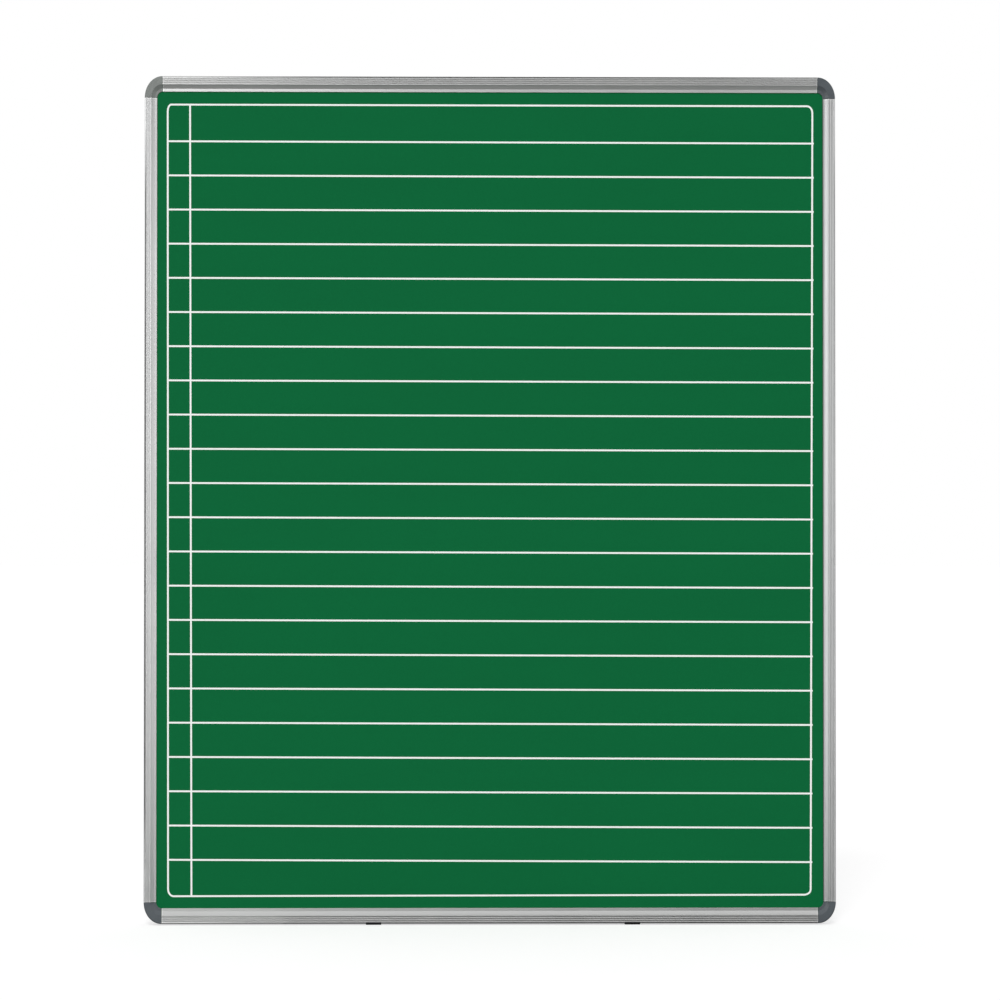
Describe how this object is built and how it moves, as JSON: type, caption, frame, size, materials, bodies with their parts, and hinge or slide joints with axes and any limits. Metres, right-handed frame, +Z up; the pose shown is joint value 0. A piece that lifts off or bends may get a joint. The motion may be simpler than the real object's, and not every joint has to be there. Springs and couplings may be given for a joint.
{
  "type": "chalkboard",
  "caption": "Ruled green enamel chalkboard in a ribbed aluminium frame with round corner caps, sliding wall hangers behind its top rail and sliding wall clips on its bottom rail.",
  "frame": {"origin": "in the wall's plane, behind the middle of the board", "axes": "+X to the right of someone who faces the board, +Y from the board into the wall, +Z up"},
  "size_m": [1, 0.0233, 1.2264],
  "materials": {
    "green_enamel": "fired satin chalkboard enamel with white ruling",
    "fibreboard": "raw fibreboard",
    "galvanised_steel": "galvanised, dull",
    "anodised_aluminium": "natural anodised, satin",
    "grey_plastic": "slate grey, satin moulding",
    "zinc_plated_steel": "bright zinc plating",
    "black_nylon": "black moulding"
  },
  "bodies": {
    "board": {"writing_sheet": "green_enamel", "core_board": "fibreboard", "backing_sheet": "galvanised_steel", "top_rail": "anodised_aluminium", "bottom_rail": "anodised_aluminium", "left_stile": "anodised_aluminium", "right_stile": "anodised_aluminium", "corner_cap_top_left": "grey_plastic", "corner_cap_top_right": "grey_plastic", "corner_cap_bottom_left": "grey_plastic", "corner_cap_bottom_right": "grey_plastic", "corner_screw_top_left_rail": "zinc_plated_steel", "corner_screw_top_left_stile": "zinc_plated_steel", "corner_screw_top_right_rail": "zinc_plated_steel", "corner_screw_top_right_stile": "zinc_plated_steel", "corner_screw_bottom_left_rail": "zinc_plated_steel", "corner_screw_bottom_left_stile": "zinc_plated_steel", "corner_screw_bottom_right_rail": "zinc_plated_steel", "corner_screw_bottom_right_stile": "zinc_plated_steel"},
    "hanger_left": {"hanger_left": "zinc_plated_steel"},
    "hanger_right": {"hanger_right": "zinc_plated_steel"},
    "wall_clip_left": {"wall_clip_left": "black_nylon"},
    "wall_clip_right": {"wall_clip_right": "black_nylon"}
  },
  "joints": [
    {"name": "hanger_left_slide", "type": "slide", "parent": "board", "child": "hanger_left", "axis": [1, 0, 0], "range_m": [-0.124, 0.279]},
    {"name": "hanger_right_slide", "type": "slide", "parent": "board", "child": "hanger_right", "axis": [1, 0, 0], "range_m": [-0.279, 0.124]},
    {"name": "wall_clip_left_slide", "type": "slide", "parent": "board", "child": "wall_clip_left", "axis": [1, 0, 0], "range_m": [-0.2645, 0.1565]},
    {"name": "wall_clip_right_slide", "type": "slide", "parent": "board", "child": "wall_clip_right", "axis": [1, 0, 0], "range_m": [-0.1935, 0.2275]}
  ]
}
